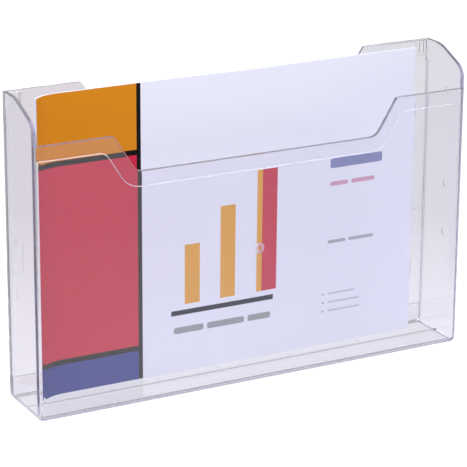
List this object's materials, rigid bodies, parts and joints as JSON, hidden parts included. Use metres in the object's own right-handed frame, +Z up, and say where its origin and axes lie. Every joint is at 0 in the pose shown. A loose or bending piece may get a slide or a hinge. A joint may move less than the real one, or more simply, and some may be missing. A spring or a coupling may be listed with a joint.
{
  "type": "brochure rack",
  "caption": "Clear plastic wall rack for A4 landscape brochures, an open tray with a hand notch and an eared back panel, holding one stapled brochure that lifts out.",
  "frame": {"origin": "middle of the base: half the width, half the depth, on the surface that the rack stands on", "axes": "+X right seen from the front, +Y to the wall behind, +Z up"},
  "size_m": [0.328, 0.05, 0.215],
  "materials": {
    "clear_plastic": "clear, polished, faint grey and lavender in the thickness",
    "printed_card": "satin print in flat blocks of colour on white card",
    "page_paper": "uncoated white paper",
    "staple_wire": "bright drawn wire"
  },
  "bodies": {
    "rack": {"front_tray": "clear_plastic", "back_panel": "clear_plastic"},
    "brochure": {"brochure_cover": "printed_card", "inner_sheet_1": "page_paper", "inner_sheet_2": "page_paper", "inner_sheet_3": "page_paper", "inner_sheet_4": "page_paper", "brochure_staples": "staple_wire"}
  },
  "joints": [
    {"name": "brochure_lift", "type": "slide", "parent": "rack", "child": "brochure", "axis": [0, 0, 1], "range_m": [0, 0.22]}
  ]
}
